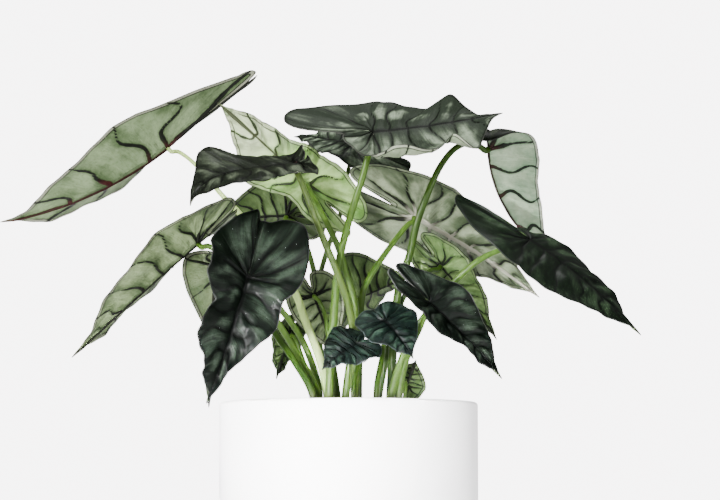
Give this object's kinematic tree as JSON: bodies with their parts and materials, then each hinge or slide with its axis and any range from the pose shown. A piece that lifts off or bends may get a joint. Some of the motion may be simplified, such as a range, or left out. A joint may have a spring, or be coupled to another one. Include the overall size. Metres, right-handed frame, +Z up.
{
  "type": "potted alocasia azlanii",
  "caption": "Potted foliage plant: arrow-shaped dark leaves with sunken veins and pale green undersides, on slim arching stalks in a plain white round pot.",
  "frame": {"origin": "centre of the pot's flat base", "axes": "+Z up, +X to the right as the plant is seen from the front, viewer at -Y"},
  "size_m": [0.399, 0.1791, 0.3627],
  "materials": {
    "pot_white": "matte",
    "soil": "rough",
    "blade_dark_side": "satin",
    "blade_pale_side": "satin",
    "young_blade": "satin",
    "petiole_green": "satin"
  },
  "bodies": {
    "root": {"pot": "pot_white", "soil": "soil", "blade_upper_left": "blade_pale_side", "petiole_upper_left": "petiole_green", "blade_young": "young_blade", "petiole_young": "petiole_green", "blade_dark_left": "blade_dark_side", "petiole_dark_left": "petiole_green", "blade_top": "blade_dark_side", "petiole_top": "petiole_green", "blade_front_left": "blade_dark_side", "petiole_front_left": "petiole_green", "blade_lower_left": "blade_pale_side", "petiole_lower_left": "petiole_green", "blade_rear_left": "blade_pale_side", "petiole_rear_left": "petiole_green", "blade_inner_left": "blade_pale_side", "petiole_inner_left": "petiole_green", "blade_right_back": "blade_pale_side", "petiole_right_back": "petiole_green", "blade_upper_right": "blade_pale_side", "petiole_upper_right": "petiole_green", "blade_far_right": "blade_dark_side", "petiole_far_right": "petiole_green", "blade_front_right": "blade_dark_side", "petiole_front_right": "petiole_green", "blade_small_front": "blade_dark_side", "petiole_small_front": "petiole_green", "blade_inner_right": "blade_pale_side", "petiole_inner_right": "petiole_green", "blade_small_dark": "blade_dark_side", "petiole_small_dark": "petiole_green", "blade_rim_right": "blade_pale_side", "petiole_rim_right": "petiole_green", "blade_small_back": "blade_pale_side", "petiole_small_back": "petiole_green", "blade_centre_back": "blade_pale_side", "petiole_centre_back": "petiole_green", "blade_rim_left": "blade_pale_side", "petiole_rim_left": "petiole_green", "blade_top_back": "blade_dark_side", "petiole_top_back": "petiole_green"}
  },
  "joints": []
}
